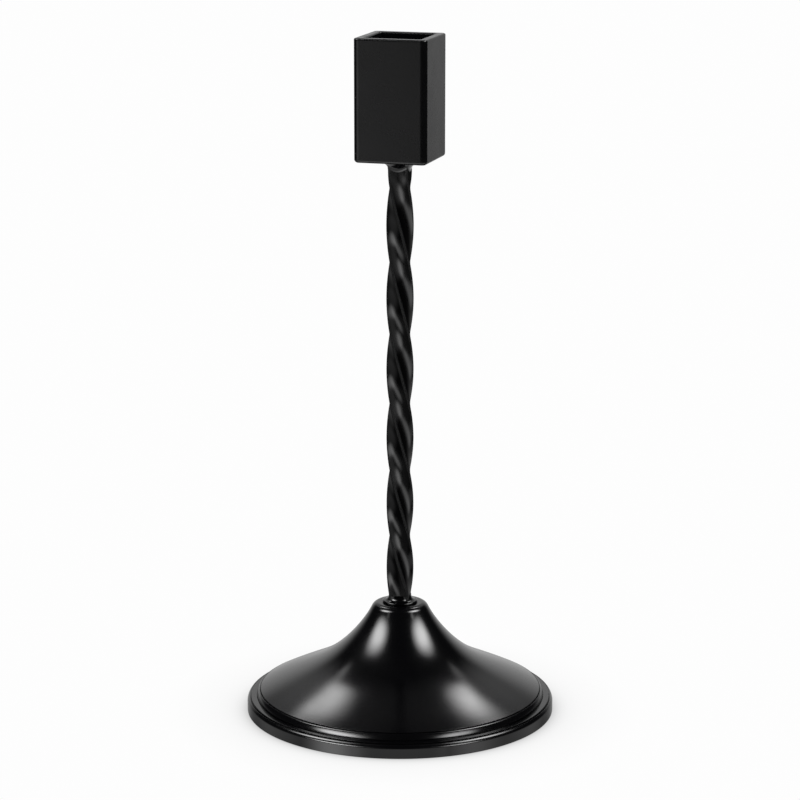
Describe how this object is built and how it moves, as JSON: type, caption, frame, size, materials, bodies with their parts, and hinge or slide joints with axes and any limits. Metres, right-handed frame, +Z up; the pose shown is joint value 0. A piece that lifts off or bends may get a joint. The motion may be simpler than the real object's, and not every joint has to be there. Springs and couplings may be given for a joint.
{
  "type": "candle holder",
  "caption": "Tall candlestick with a square cup for a taper candle, a twisted square bar as its stem and a round bell-shaped foot with a stepped rim.",
  "frame": {"origin": "middle of the felt's underside, on the table, on the stem's axis", "axes": "+Z up along the stem; the cup's sides lie along X and Y"},
  "size_m": [0.1266, 0.1266, 0.2788],
  "materials": {
    "cup": "black powder coat on steel, fine grain, low sheen",
    "stem": "black satin paint on steel",
    "base": "black gloss paint on spun steel sheet",
    "fastener": "zinc-plated steel",
    "felt": "black felt, 0.8 mm thick"
  },
  "bodies": {
    "root": {"cup_tube": "cup", "cup_floor": "cup", "cup_screw": "fastener", "upper_collar": "stem", "twisted_stem": "stem", "lower_collar": "base", "base_shell": "base", "clamp_washer": "fastener", "spring_washer": "fastener", "base_bolt": "fastener", "felt_pad": "felt"}
  },
  "joints": []
}
